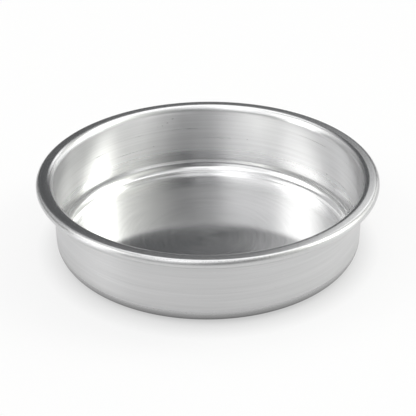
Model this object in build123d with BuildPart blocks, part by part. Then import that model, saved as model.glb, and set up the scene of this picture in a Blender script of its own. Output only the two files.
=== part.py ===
from build123d import *
from math import cos, degrees, radians, sin, tan
import os

# Round cake tin: one drawn aluminium pan, its rim rolled outwards round a steel wire.
# Millimetres. The origin is at the centre of the underside, +Z points up.

# Pan
sheet = 1.0                # thickness of the drawn aluminium
mouth_radius = 101.5       # inside of the wall, where it meets the lip
height = 52.2              # from the table to the top of the rim
wall_draft = 0.3           # degrees that the wall leans outwards
corner_radius = 8.6        # inside, between floor and wall

# Rim
lip_radius = 5.1           # upper face of the bend from the wall out to the flat
rim_flat = 3.4             # flat ring between the lip and the curl
curl_turn = 285            # degrees that the sheet turns round the wire

# Wire inside the curl
wire_diameter = 3.8
wire_clearance = 0.1       # between the wire and the sheet round it
wire_end_gap = 1.5         # between the two cut ends of the wire

# Places worked out from the sizes above
curl_radius = wire_diameter / 2 + wire_clearance + sheet
draft_cos = cos(radians(wall_draft))
draft_sin = sin(radians(wall_draft))
lip_x = mouth_radius + lip_radius * draft_cos
lip_z = height - lip_radius
curl_x = lip_x + rim_flat
curl_z = height - curl_radius
curl_end = 90 - curl_turn
corner_z = sheet + corner_radius
wall_top_z = lip_z + lip_radius * draft_sin
wall_foot_z = corner_z - corner_radius * draft_sin
wall_foot_x = mouth_radius - (wall_top_z - wall_foot_z) * tan(radians(wall_draft))
corner_x = wall_foot_x - corner_radius * draft_cos
edge_x = curl_x + (curl_radius - sheet / 2) * cos(radians(curl_end))
edge_z = curl_z + (curl_radius - sheet / 2) * sin(radians(curl_end))


def sheet_face(depth):
    # One face of the sheet, from the axis to the end of the curl: depth is how far it
    # lies below the inner and upper face.
    floor = Line((0, sheet - depth), (corner_x, sheet - depth))
    corner = CenterArc((corner_x, corner_z), corner_radius + depth, -90, 90 - wall_draft)
    lip = CenterArc((lip_x, lip_z), lip_radius - depth, 180 - wall_draft, wall_draft - 90)
    Line(corner @ 1, lip @ 0)
    curl = CenterArc((curl_x, curl_z), curl_radius - depth, 90, -curl_turn)
    Line(lip @ 1, curl @ 0)
    return floor @ 0


# Pan: floor, rounded corner, drafted wall, lip, flat rim and curl are one sheet
with BuildPart() as pan_shell:
    with BuildSketch(Plane.XZ):
        with BuildLine():
            upper_start = sheet_face(0)
            lower_start = sheet_face(sheet)
            Line(upper_start, lower_start)
            CenterArc((edge_x, edge_z), sheet / 2, curl_end, -180)
        make_face()
    revolve(axis=Axis.Z)
pan_shell.part.label = "pan_shell"

# Wire: a steel ring, cut to length and bent until its ends nearly meet at the back
wire_gap_angle = degrees(wire_end_gap / curl_x)
with BuildPart() as rim_wire:
    with BuildSketch(Plane.XZ.rotated((0, 0, 90 + wire_gap_angle / 2))):
        with Locations((curl_x, curl_z)):
            Circle(wire_diameter / 2)
    revolve(axis=Axis.Z, revolution_arc=360 - wire_gap_angle)
rim_wire.part.label = "rim_wire"

os.makedirs("parts", exist_ok=True)
export_step(pan_shell.part, "parts/pan_shell.step")
export_step(rim_wire.part, "parts/rim_wire.step")
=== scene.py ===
# Round cake tin: one drawn aluminium pan whose rim is rolled outwards round a steel wire.
# Metres, +Z up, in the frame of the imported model. The camera looks along +Y and down.
import math

import bpy
import numpy as np
from mathutils import Matrix, Vector


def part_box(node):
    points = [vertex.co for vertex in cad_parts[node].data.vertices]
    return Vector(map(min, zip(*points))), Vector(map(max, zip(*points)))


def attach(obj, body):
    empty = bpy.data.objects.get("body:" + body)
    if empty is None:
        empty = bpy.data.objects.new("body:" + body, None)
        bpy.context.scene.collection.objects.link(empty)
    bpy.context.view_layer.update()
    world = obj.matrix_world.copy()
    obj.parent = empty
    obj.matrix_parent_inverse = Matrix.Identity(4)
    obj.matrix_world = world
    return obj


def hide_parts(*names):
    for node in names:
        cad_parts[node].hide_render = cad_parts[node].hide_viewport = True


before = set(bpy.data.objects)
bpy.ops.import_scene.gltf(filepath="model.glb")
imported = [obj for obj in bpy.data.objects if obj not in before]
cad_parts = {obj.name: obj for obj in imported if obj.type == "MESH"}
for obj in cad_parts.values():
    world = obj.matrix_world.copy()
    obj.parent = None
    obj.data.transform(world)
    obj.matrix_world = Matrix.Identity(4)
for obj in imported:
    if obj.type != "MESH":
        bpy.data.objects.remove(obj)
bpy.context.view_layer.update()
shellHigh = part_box("pan_shell")[1]
wireLow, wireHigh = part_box("rim_wire")
print("frame loaded")


# shader maths
class Wire:
    # one output socket, with the operators that shader sums need
    def __init__(self, shader, socket):
        self.shader = shader
        self.socket = socket

    def __add__(self, other):
        return self.shader.maths("ADD", self, other)

    def __sub__(self, other):
        return self.shader.maths("SUBTRACT", self, other)

    def __mul__(self, other):
        return self.shader.maths("MULTIPLY", self, other)

    def __truediv__(self, other):
        return self.shader.maths("DIVIDE", self, other)

    def __radd__(self, other):
        return self.shader.maths("ADD", other, self)

    def __rsub__(self, other):
        return self.shader.maths("SUBTRACT", other, self)

    def __rmul__(self, other):
        return self.shader.maths("MULTIPLY", other, self)


class Shader:
    # one node tree, of a material or of the world
    noiseMiddle = 0.5

    def __init__(self, owner):
        owner.use_nodes = True
        self.tree = owner.node_tree
        self.tree.nodes.clear()

    def add(self, kind, settings=None, sockets=None, out=0):
        # settings first, then values or links of its sockets; returns one output, if it has any
        node = self.tree.nodes.new(kind)
        for name, value in (settings or {}).items():
            setattr(node, name, value)
        for name, value in (sockets or {}).items():
            if isinstance(value, Wire):
                self.tree.links.new(value.socket, node.inputs[name])
            else:
                node.inputs[name].default_value = value
        return Wire(self, node.outputs[out]) if len(node.outputs) else None

    def maths(self, operation, first, second=0.0):
        return self.add("ShaderNodeMath", {"operation": operation}, {0: first, 1: second})

    def vector(self, operation, first, second=(0.0, 0.0, 0.0), scale=1.0):
        return self.add("ShaderNodeVectorMath", {"operation": operation}, {0: first, 1: second, 3: scale})

    def split(self, vector):
        node = self.add("ShaderNodeSeparateXYZ", None, {0: vector})
        return [Wire(self, socket) for socket in node.socket.node.outputs]

    def join(self, x, y, z):
        return self.add("ShaderNodeCombineXYZ", None, {0: x, 1: y, 2: z})

    def ease(self, value, low, high):
        # rises smoothly from 0 at low to 1 at high
        return self.add("ShaderNodeMapRange", {"interpolation_type": "SMOOTHSTEP"},
                        {"Value": value, "From Min": low, "From Max": high})

    def mixColour(self, share, first, second, blend="MIX"):
        # the sockets go by number, because this node's numbers and colours share their names
        return self.add("ShaderNodeMix", {"data_type": "RGBA", "blend_type": blend},
                        {0: share, 6: first, 7: second}, out=2)

    def noise(self, place, scale, detail, rough):
        return self.add("ShaderNodeTexNoise", None,
                        {"Vector": place, "Scale": scale, "Detail": detail, "Roughness": rough})

    def evenNoise(self, place, scale, detail, rough):
        # the same noise, about 0
        return self.noise(place, scale, detail, rough) - self.noiseMiddle


# meshes
def makeObject(name, points, faces):
    # points as an (n, 3) array, faces as lists of point numbers
    mesh = bpy.data.meshes.new(name)
    mesh.from_pydata(points.tolist(), [], faces)
    mesh.update()
    mesh.shade_smooth()
    piece = bpy.data.objects.new(name, mesh)
    bpy.context.scene.collection.objects.link(piece)
    return piece


def makeTube(name, rows, firstPole, lastPole):
    # rows is a grid of points, each row closed on itself: quads join each row to the next, and a
    # fan of triangles from a pole closes each end. The faces point inwards where a row goes round
    # anticlockwise, seen from the next row, and outwards where it goes round clockwise
    points = np.concatenate([rows.reshape(-1, 3), [firstPole, lastPole]])
    count = rows.shape[1]
    here = np.arange(count)
    after = (here + 1) % count
    start = (np.arange(len(rows) - 1) * count)[:, None]
    quads = np.stack([start + here, start + count + here, start + count + after, start + after], 2)
    last = (len(rows) - 1) * count
    firstFan = [np.full(count, len(points) - 2), here, after]
    lastFan = [np.full(count, len(points) - 1), last + after, last + here]
    faces = quads.reshape(-1, 4).tolist()
    faces += np.stack(firstFan, 1).tolist() + np.stack(lastFan, 1).tolist()
    return makeObject(name, points, faces)


def addValues(piece, name, values):
    # one number for each point of the mesh, for the shaders to read
    attribute = piece.data.attributes.new(name, "FLOAT", "POINT")
    attribute.data.foreach_set("value", values.astype(np.float32))


def arcPoints(centre, radius, start, turn, step):
    # points on a circle about centre, from the angle start through turn, in degrees
    angles = np.radians(start + turn * np.linspace(0.0, 1.0, int(abs(turn) / step) + 1))
    return np.stack([centre[0] + radius * np.cos(angles), centre[1] + radius * np.sin(angles)], 1)


def linePoints(start, end, count):
    # points on a straight line, its ends left out
    share = np.linspace(0.0, 1.0, count + 2)[1:-1, None]
    return np.array(start) * (1.0 - share) + np.array(end) * share


# pan shell
pan = {
    "sheet": 0.0010,          # thickness
    "mouthRadius": 0.1015,    # inside of the wall under the lip
    "wallDraft": 0.3,         # degrees
    "cornerRadius": 0.0086,   # inside
    "lipRadius": 0.0051,      # upper face
    "curlRadius": 0.0030,     # outside
    "curlTurn": 285.0,        # degrees
    "around": 320,            # steps round the axis
    "bendStep": 4.0,          # degrees from point to point in the corner and the lip
    "curlStep": 7.0,          # the same in the curl
    "edgeStep": 20.0,         # and in the rounded edge of the sheet
    "floorPoints": 16,
    "wallPoints": 10,
    "flatPoints": 3,
}
curlCentre = (shellHigh.x - pan["curlRadius"], shellHigh.z - pan["curlRadius"])


def sheetFace(depth):
    # one face of the sheet in the (radius, height) plane, depth under its inner and upper face:
    # floor, corner arc, wall leaning out by the draft, lip arc, flat ring and curl arc
    draft = math.radians(pan["wallDraft"])
    lipCentre = (pan["mouthRadius"] + pan["lipRadius"] * math.cos(draft), shellHigh.z - pan["lipRadius"])
    cornerZ = pan["sheet"] + pan["cornerRadius"]
    wallTopZ = lipCentre[1] + pan["lipRadius"] * math.sin(draft)
    wallFootZ = cornerZ - pan["cornerRadius"] * math.sin(draft)
    footX = pan["mouthRadius"] - (wallTopZ - wallFootZ) * math.tan(draft)
    cornerCentre = (footX - pan["cornerRadius"] * math.cos(draft), cornerZ)
    bend = 90 - pan["wallDraft"]
    corner = arcPoints(cornerCentre, pan["cornerRadius"] + depth, -90, bend, pan["bendStep"])
    lip = arcPoints(lipCentre, pan["lipRadius"] - depth, 90 + bend, -bend, pan["bendStep"])
    curl = arcPoints(curlCentre, pan["curlRadius"] - depth, 90, -pan["curlTurn"], pan["curlStep"])
    floor = linePoints((0.0, pan["sheet"] - depth), corner[0], pan["floorPoints"])
    wall = linePoints(corner[-1], lip[0], pan["wallPoints"])
    flat = linePoints(lip[-1], curl[0], pan["flatPoints"])
    return np.concatenate([floor, corner, wall, lip, flat, curl])


def revolve(profile, around):
    # every point (radius, height) of the profile goes round the axis in as many steps as around says
    angles = np.linspace(0.0, 2.0 * math.pi, around, endpoint=False)
    radii, heights = profile[:, 0, None], profile[:, 1, None]
    return np.stack([radii * np.cos(angles), radii * np.sin(angles), np.repeat(heights, around, 1)], 2)


def makePan():
    # the sheet's two faces and the half circle of its edge are one profile, turned round the axis
    upper = sheetFace(0.0)
    lower = sheetFace(pan["sheet"])
    curlEnd = 90 - pan["curlTurn"]
    middle = pan["curlRadius"] - pan["sheet"] / 2
    edgeCentre = (curlCentre[0] + middle * math.cos(math.radians(curlEnd)),
                  curlCentre[1] + middle * math.sin(math.radians(curlEnd)))
    edge = arcPoints(edgeCentre, pan["sheet"] / 2, curlEnd, -180, pan["edgeStep"])[1:-1]
    rings = revolve(np.concatenate([upper, edge, lower[::-1]]), pan["around"])
    piece = makeTube("cakeTinShell", rings, (0, 0, pan["sheet"]), (0, 0, 0))
    # sheetRun: how far each point is along the sheet from the floor's first ring of points, the
    # same on both faces
    run = np.cumsum(np.hypot(*np.diff(upper, axis=0, prepend=upper[:1]).T))
    along = np.concatenate([run, np.full(len(edge), run[-1]), run[::-1]])
    addValues(piece, "sheetRun", np.append(np.repeat(along, pan["around"]), [0.0, 0.0]))
    # outside: 0 on the floor, inner wall, lip and flat, rising over the curl to 1 on the outer wall
    curlShare = np.clip((upper[:, 0] - curlCentre[0]) / pan["curlRadius"], 0.0, 1.0)
    curlShare[np.argmax(curlShare):] = 1.0
    outside = np.concatenate([curlShare, np.ones(len(edge) + len(lower))])
    addValues(piece, "outside", np.append(np.repeat(outside, pan["around"]), [0.0, 1.0]))
    return piece


panShell = makePan()
print("pan shell:", len(panShell.data.polygons), "faces")


# rim wire
wireRing = {
    "around": 360,       # steps along the wire
    "sides": 16,         # steps round it
    "endGap": 0.0015,    # between its two cut ends, at the back
    "endRound": 0.0004,  # how far the cut ends are rounded
    "endSteps": 4,       # steps along that rounding
}


def makeWire():
    # a circle carried round the axis from one side of the gap at +Y to the other; the
    # circle shrinks over the last steps, so that the cut ends are rounded
    thick = (wireHigh.z - wireLow.z) / 2
    ring = wireHigh.x - thick
    middleZ = (wireHigh.z + wireLow.z) / 2
    rounding = wireRing["endRound"] / ring
    inset = wireRing["endGap"] / ring / 2 + rounding
    body = np.linspace(inset, 2 * math.pi - inset, wireRing["around"])
    turns = np.linspace(0.0, math.pi / 2, wireRing["endSteps"] + 1)[1:]
    startAngles = (inset - rounding * np.sin(turns))[::-1]
    endAngles = body[-1] + rounding * np.sin(turns)
    shrink = thick - wireRing["endRound"] * (1 - np.cos(turns))
    angles = np.concatenate([startAngles, body, endAngles]) + math.pi / 2
    radii = np.concatenate([shrink[::-1], np.full(len(body), thick), shrink])
    sides = np.linspace(0.0, 2.0 * math.pi, wireRing["sides"], endpoint=False)
    outwards = ring + radii[:, None] * np.cos(sides)
    circles = np.stack([outwards * np.cos(angles)[:, None], outwards * np.sin(angles)[:, None],
                        middleZ + radii[:, None] * np.sin(sides)], 2)
    firstPole, lastPole = ((ring * math.cos(angle), ring * math.sin(angle), middleZ)
                           for angle in (angles[0], angles[-1]))
    return makeTube("rimWireRing", circles, firstPole, lastPole)


rimWire = makeWire()
print("rim wire:", len(rimWire.data.polygons), "faces")


# finishes
axisGuard = 1e-9   # square metres; with it the axis has a direction too, and nothing divides by 0


def roundAxis(shader, place):
    # distance from the axis, cosine and sine of the angle round it, and height
    east, north, up = shader.split(place)
    radius = shader.maths("SQRT", east * east + north * north + axisGuard)
    return radius, east / radius, north / radius, up


def addShares(start, patterns, shares):
    # start, plus each pattern that shares names times its share
    return sum((patterns[name] * share for name, share in shares.items()), start)


aluminium = {
    # reflectance, roughness of the sharp and of the dull sheen, and the dull one's share
    "floor": (0.86, 0.12, 0.22, 0.25),
    "corner": (0.90, 0.16, 0.32, 0.25),
    "wall": (0.92, 0.30, 0.50, 0.30),
    "rim": (0.80, 0.19, 0.35, 0.10),
    "outside": (0.65, 0.34, 0.56, 0.30),
    # the outer corner and the underside are given a low reflectance: painted shade, standing for the dark
    # table close under the tin that they reflect
    "paintedShadeFoot": (0.47, 0.16, 0.40, 0.05),   # the outer corner and the underside
    # where each finish gives way to the next, as values of sheetRun
    "cornerReach": (0.0910, 0.0935),
    "wallReach": (0.1045, 0.1095),
    "rimReach": (0.1425, 0.1450),
    "paintedShadeFootReach": (0.0960, 0.1040),
    "stretch": 0.7,         # how far the lines stretch a reflection
    "stretchTurn": 0.25,    # a quarter turn, from along the lines to across them
    "tint": (1.0, 1.0, 1.004, 1.0),
}
marks = {
    # lines left by turning: how many to the metre across them, how fast they change round the
    # axis, and the noise's detail and roughness
    "broad": (170.0, 1.1, 2.0, 0.6),
    "middle": (620.0, 1.6, 1.5, 0.6),
    "fine": (3400.0, 3.0, 1.0, 0.6),
    # patterns that are alike every way: how many to the metre, and detail and roughness
    "blotch": (22.0, 3.0, 0.55),
    "grain": (1500.0, 4.0, 0.7),
    "wave": (14.0, 1.0, 0.4),
    # scratches: how fast their noise changes round the axis, and along the sheet each way
    "scratchAround": 34.0,
    "scratchAlong": (260.0, 180.0, 900.0),
    "scratchNoise": (1.0, 1.0, 0.5),
    "scratchReach": (0.68, 0.74),     # of that noise, from none to a full scratch
    "scratchPatches": (0.0, 0.12),    # of the blotches that hold them
    # pits: cells to the metre, how far from a cell's middle one reaches, and which grain has them
    "pitCells": 160.0,
    "pitReach": (0.11, 0.05),
    "pitGrain": (0.08, 0.14),
    # what the patterns change: the reflectance and the roughness in proportion, and the height
    "levelShares": {"broad": 0.05, "middle": 0.24, "fine": 0.06, "blotch": 0.05, "rimGrain": 0.38},
    "roughShares": {"broad": 0.12, "middle": 0.25, "fine": 0.15, "blotch": 0.15, "rimGrain": 0.8},
    "heightShares": {"middle": 0.6, "fine": 0.1, "scratches": -0.2, "pits": -0.3, "rimGrain": 1.0},
    # pits and scratches each change the reflectance once more, and add to the roughness
    "pitLevelShare": {"pits": -0.22},
    "scratchLevelShare": {"scratches": 0.05},
    "addedRoughShares": {"pits": 0.08, "scratches": -0.03},
    "lineDepth": 0.000012,
    "waveDepth": 0.00002,
}


def sheetValues(shader, run, outside):
    # the finish's four values over the whole sheet: along it they ease from part to part, and
    # outside says how far the outer face's own values take over
    reached = [shader.ease(run, *aluminium[part + "Reach"]) for part in ("corner", "wall", "rim")]
    # below this reach the outer face takes the darker foot colour: painted shade near the table
    pastPaintedShadeFoot = shader.ease(run, *aluminium["paintedShadeFootReach"])
    parts = [aluminium[part] for part in ("floor", "corner", "wall", "rim", "paintedShadeFoot", "outside")]
    values = []
    for value, corner, wall, rim, paintedShadeFoot, side in zip(*parts):
        for part, share in zip((corner, wall, rim), reached):
            value = value + (part - value) * share
        outer = paintedShadeFoot + (side - paintedShadeFoot) * pastPaintedShadeFoot
        values.append(value + (outer - value) * outside)
    return values


def turnedLines(shader, turn, run, across, around, detail, rough):
    # lines left by turning: noise that changes fast along the sheet and slowly round the axis
    place = shader.join(turn[0] * around, turn[1] * around, run * across)
    return shader.evenNoise(place, 1.0, detail, rough)


def scratchPattern(shader, turn, run, blotch):
    # handling marks: short faint scratches in patches, each crossing the lines
    along = marks["scratchAlong"]
    place = shader.join(turn[0] * marks["scratchAround"] + run * along[0],
                        turn[1] * marks["scratchAround"] + run * along[1], run * along[2])
    scratches = shader.ease(shader.noise(place, *marks["scratchNoise"]), *marks["scratchReach"])
    return scratches * shader.ease(blotch, *marks["scratchPatches"])


def pitPattern(shader, place, grain):
    # a few small dark specks, in the middles of some cells
    cell = shader.add("ShaderNodeTexVoronoi", None, {"Vector": place, "Scale": marks["pitCells"]},
                      out="Distance")
    return shader.ease(cell, *marks["pitReach"]) * shader.ease(grain, *marks["pitGrain"])


def sheetPatterns(shader, place, run):
    # every pattern of the sheet, by the name that the shares give it
    turn = roundAxis(shader, place)[1:3]
    patterns = {name: turnedLines(shader, turn, run, *marks[name]) for name in ("broad", "middle", "fine")}
    blotch = shader.evenNoise(place, *marks["blotch"])
    grain = shader.evenNoise(place, *marks["grain"])
    patterns["blotch"] = blotch
    patterns["rimGrain"] = shader.ease(run, *aluminium["rimReach"]) * grain
    patterns["scratches"] = scratchPattern(shader, turn, run, blotch)
    patterns["pits"] = pitPattern(shader, place, grain)
    return patterns


def aluminiumFinish():
    material = bpy.data.materials.new("satinAluminium")
    shader = Shader(material)
    run = shader.add("ShaderNodeAttribute", {"attribute_name": "sheetRun"}, out="Fac")
    outside = shader.add("ShaderNodeAttribute", {"attribute_name": "outside"}, out="Fac")
    place = shader.add("ShaderNodeTexCoord", out="Object")
    patterns = sheetPatterns(shader, place, run)
    level, sharp, dull, dullShare = sheetValues(shader, run, outside)

    level = level * addShares(1.0, patterns, marks["levelShares"])
    level = level * addShares(1.0, patterns, marks["pitLevelShare"])
    level = level * addShares(1.0, patterns, marks["scratchLevelShare"])
    shade = shader.add("ShaderNodeCombineColor", None, {0: level, 1: level, 2: level})
    tinted = shader.mixColour(1.0, shade, aluminium["tint"], "MULTIPLY")

    height = addShares(0.0, patterns, marks["heightShares"])
    waves = shader.evenNoise(place, *marks["wave"])
    lines = shader.add("ShaderNodeBump", None, {
        "Strength": 1.0, "Distance": marks["lineDepth"], "Height": height})
    shape = shader.add("ShaderNodeBump", None, {
        "Strength": 1.0, "Distance": marks["waveDepth"], "Height": waves, "Normal": lines})

    # the satin: a fairly sharp sheen and a wide, dull one share the light
    uneven = addShares(1.0, patterns, marks["roughShares"])
    sheens = [shader.add("ShaderNodeBsdfPrincipled", None, {
        "Base Color": tinted, "Metallic": 1.0, "Normal": shape,
        "Roughness": addShares(rough * uneven, patterns, marks["addedRoughShares"]),
        "Anisotropic": aluminium["stretch"], "Anisotropic Rotation": aluminium["stretchTurn"]})
        for rough in (sharp, dull)]
    surface = shader.add("ShaderNodeMixShader", None, {0: dullShare, 1: sheens[0], 2: sheens[1]})
    shader.add("ShaderNodeOutputMaterial", None, {"Surface": surface})
    return material


panShell.data.materials.append(aluminiumFinish())

galvanised = {
    "colour": (0.50, 0.51, 0.52, 1.0),
    "dull": (0.38, 0.39, 0.41, 1.0),
    "rough": 0.35,
    "crystals": 260.0,              # spangles of the zinc, per metre
    "drawn": 5200.0,                # drawing lines, per metre across them
    "drawnAround": 3.0,             # how fast they change round the axis
    "drawnNoise": (1.0, 3.0, 0.6),
    "stain": (60.0, 3.0, 0.6),      # how many to the metre, detail and roughness
    "stainReach": (0.42, 0.66),
    # what the patterns change: the share of the dull colour, the roughness and the height
    "dullShares": {"facet": 0.35, "stain": 0.5},
    "roughShares": {"facet": 0.14, "drawn": 0.12, "stain": 0.12},
    "heightShares": {"drawn": 1.0, "facet": 0.3},
    "lineDepth": 0.00001,
}


def galvanisedFinish():
    # dull zinc with faint crystals, over the lines left by drawing the wire
    material = bpy.data.materials.new("galvanisedWire")
    shader = Shader(material)
    place = shader.add("ShaderNodeTexCoord", out="Object")
    crystal = shader.add("ShaderNodeTexVoronoi", None, {"Vector": place, "Scale": galvanised["crystals"]},
                         out="Color")
    radius, cosine, sine, up = roundAxis(shader, place)
    around = galvanised["drawnAround"]
    across = shader.join(cosine * around, sine * around, (radius + up) * galvanised["drawn"])
    patterns = {
        "facet": shader.split(crystal)[0],
        "drawn": shader.evenNoise(across, *galvanised["drawnNoise"]),
        "stain": shader.ease(shader.noise(place, *galvanised["stain"]), *galvanised["stainReach"]),
    }
    dullShare = addShares(0.0, patterns, galvanised["dullShares"])
    bump = shader.add("ShaderNodeBump", None, {
        "Strength": 1.0, "Distance": galvanised["lineDepth"],
        "Height": addShares(0.0, patterns, galvanised["heightShares"])})
    surface = shader.add("ShaderNodeBsdfPrincipled", None, {
        "Base Color": shader.mixColour(dullShare, galvanised["colour"], galvanised["dull"]),
        "Metallic": 1.0, "Normal": bump,
        "Roughness": addShares(galvanised["rough"], patterns, galvanised["roughShares"])})
    shader.add("ShaderNodeOutputMaterial", None, {"Surface": surface})
    return material


rimWire.data.materials.append(galvanisedFinish())
print("finishes made")


# table
tableTop = {
    "half": 12.0,
    "drop": 0.0002,         # how far it lies under the tin
    "colour": (0.19, 0.19, 0.19, 1.0),
    "glow": 0.80,           # what the camera and the tin's reflections see, so that it shows pale
    "nearShade": 0.016,     # how near the tin darkens the glow, as dense shadow does
    "shadeShare": 0.38,     # how much of that the camera sees; in reflections it is all there
    "mirrorShade": 0.021,   # how near the tin darkens it in reflections
    "shadeSamples": 8,
}


def tableFinish():
    # paper lit by the studio, and a glow that only the camera and reflections see
    material = bpy.data.materials.new("paleTable")
    shader = Shader(material)
    paper = shader.add("ShaderNodeBsdfDiffuse", None, {"Color": tableTop["colour"]})
    toCamera, glossy, through = (
        shader.add("ShaderNodeLightPath", out="Is " + ray + " Ray")
        for ray in ("Camera", "Glossy", "Transmission"))
    openNear, openMirror = (
        shader.add("ShaderNodeAmbientOcclusion", {"samples": tableTop["shadeSamples"]},
                   {"Distance": tableTop[reach]}, out="AO")
        for reach in ("nearShade", "mirrorShade"))
    seen = (1.0 - (1.0 - openNear) * tableTop["shadeShare"]) * toCamera
    mirrored = openMirror * (glossy + through)
    glow = shader.add("ShaderNodeEmission", None, {
        "Color": (1, 1, 1, 1), "Strength": (seen + mirrored) * tableTop["glow"]})
    surface = shader.add("ShaderNodeAddShader", None, {0: paper, 1: glow})
    shader.add("ShaderNodeOutputMaterial", None, {"Surface": surface})
    return material


def makeTable():
    # a flat square, just under the tin
    corners = np.array([[-1, -1], [1, -1], [1, 1], [-1, 1]]) * tableTop["half"]
    points = np.column_stack([corners, np.full(len(corners), -tableTop["drop"])])
    piece = makeObject("table", points, [[0, 1, 2, 3]])
    piece.data.materials.append(tableFinish())
    return piece


table = makeTable()
print("table made")

# studio light: soft panels round the tin, given by the directions that they fill. Azimuth 0 is
# behind the tin, 90 at its right and 180 at the camera; all angles are in degrees
halfTurn = 180
studio = {
    "dim": (0.098, 0.100, 0.103),   # between the panels
    "white": (1.0, 1.0, 1.0),
    "panels": {
        # azimuth and elevation of the middle, half width and half height, soft edge, strength
        "overhead": {"at": (0, 90), "half": (halfTurn, 24), "edge": 21, "strength": 0.76},
        "topBack": {"at": (12, 61), "half": (60, 13), "edge": 15, "strength": 1.2},
        "topLeft": {"at": (-137, 67), "half": (30, 40), "edge": 24, "strength": 0.87},
        "topFront": {"at": (-172, 64), "half": (38, 7), "edge": 9, "strength": 0.9},
        "left": {"at": (-93, 41), "half": (18, 13), "edge": 27, "strength": 3.0,
                 "tint": (1.00, 1.00, 0.98)},
        "leftLow": {"at": (-105, 2), "half": (14, 7), "edge": 12, "strength": 5.5},
        "rightWide": {"at": (86, 36), "half": (48, 12), "edge": 60, "strength": 1.24,
                      "tint": (0.99, 1.00, 0.94)},
        "right": {"at": (79, 41), "half": (15, 11), "edge": 19, "strength": 4.6,
                  "tint": (0.99, 1.00, 0.94)},
        "rightLow": {"at": (61, 16), "half": (31, 6), "edge": 12, "strength": 1.37},
        "horizonRight": {"at": (126, 2), "half": (39, 2), "edge": 12, "strength": 2.4},
        "backRight": {"at": (18, 33), "half": (10, 4), "edge": 14, "strength": 2.1},
        "backLeft": {"at": (-55, 29), "half": (19, 16), "edge": 12, "strength": 0.47},
        "frontLeft": {"at": (-151, 32), "half": (40, 2), "edge": 12, "strength": 0.78},
    },
}


def angleShare(shader, angle, middle, half, edge):
    # 1 within half of the middle, falling to 0 across the soft edge; angles go round, so the way
    # from the middle is taken through the cosine
    away = shader.maths("ARCCOSINE", shader.maths("COSINE", angle - math.radians(middle)))
    return shader.ease(away, math.radians(half + edge / 2), math.radians(half - edge / 2))


def panelShare(shader, azimuth, elevation, panel):
    # 1 over the panel, 0 away from it; a panel half a turn to each side goes all the way round
    middles, halves, edge = panel["at"], panel["half"], panel["edge"]
    share = angleShare(shader, elevation, middles[1], halves[1], edge)
    if halves[0] < halfTurn:
        share = share * angleShare(shader, azimuth, middles[0], halves[0], edge)
    return share


def makeStudio():
    world = bpy.data.worlds.new("studio")
    bpy.context.scene.world = world
    shader = Shader(world)
    # in a world the node's first output is the direction looked in
    direction = shader.add("ShaderNodeTexCoord")
    east, north, up = shader.split(direction)
    azimuth = shader.maths("ARCTAN2", east, north)
    elevation = shader.maths("ARCSINE", up)
    # the colours of all the panels that fill a direction are added up
    total = shader.join(*studio["dim"])
    for panel in studio["panels"].values():
        share = panelShare(shader, azimuth, elevation, panel) * panel["strength"]
        tint = shader.join(*panel.get("tint", studio["white"]))
        total = shader.vector("ADD", total, shader.vector("SCALE", tint, scale=share))
    light = shader.add("ShaderNodeBackground", None, {"Color": total, "Strength": 1.0})
    shader.add("ShaderNodeOutputWorld", None, {"Surface": light})


makeStudio()
print("studio light:", len(studio["panels"]), "panels")


# camera
view = {
    "distance": 0.755,           # from the point aimed at
    "elevation": 29.57,          # degrees
    "aimHeight": 0.025,
    "focalPixels": 1121.3,       # focal length in pixels of the frame
    "aimPixel": (207.9, 206.4),  # where the point aimed at falls in the frame
    "roll": -0.42,               # degrees
    "frame": 416.0,              # pixels across and down
    "sensor": 36.0,              # millimetres
    "clipStart": 0.05,
}


def makeCamera():
    lens = bpy.data.cameras.new("camera")
    lens.sensor_width = view["sensor"]
    lens.lens = view["sensor"] * view["focalPixels"] / view["frame"]
    lens.shift_x = (view["frame"] / 2 - view["aimPixel"][0]) / view["frame"]
    lens.shift_y = (view["aimPixel"][1] - view["frame"] / 2) / view["frame"]
    lens.clip_start = view["clipStart"]
    camera = bpy.data.objects.new("camera", lens)
    bpy.context.scene.collection.objects.link(camera)
    tilt = math.radians(view["elevation"])
    aim = Vector((0.0, 0.0, view["aimHeight"]))
    place = aim + view["distance"] * Vector((0.0, -math.cos(tilt), math.sin(tilt)))
    pitch = Matrix.Rotation(math.radians(90) - tilt, 4, "X")
    roll = Matrix.Rotation(math.radians(view["roll"]), 4, "Z")
    camera.matrix_world = Matrix.Translation(place) @ pitch @ roll
    bpy.context.scene.camera = camera


makeCamera()
bpy.context.scene.view_settings.view_transform = "Standard"
print("camera placed")

for piece, node, slotName in ((panShell, "pan_shell", "aluminium"), (rimWire, "rim_wire", "steel_wire")):
    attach(piece, "root")
    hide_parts(node)
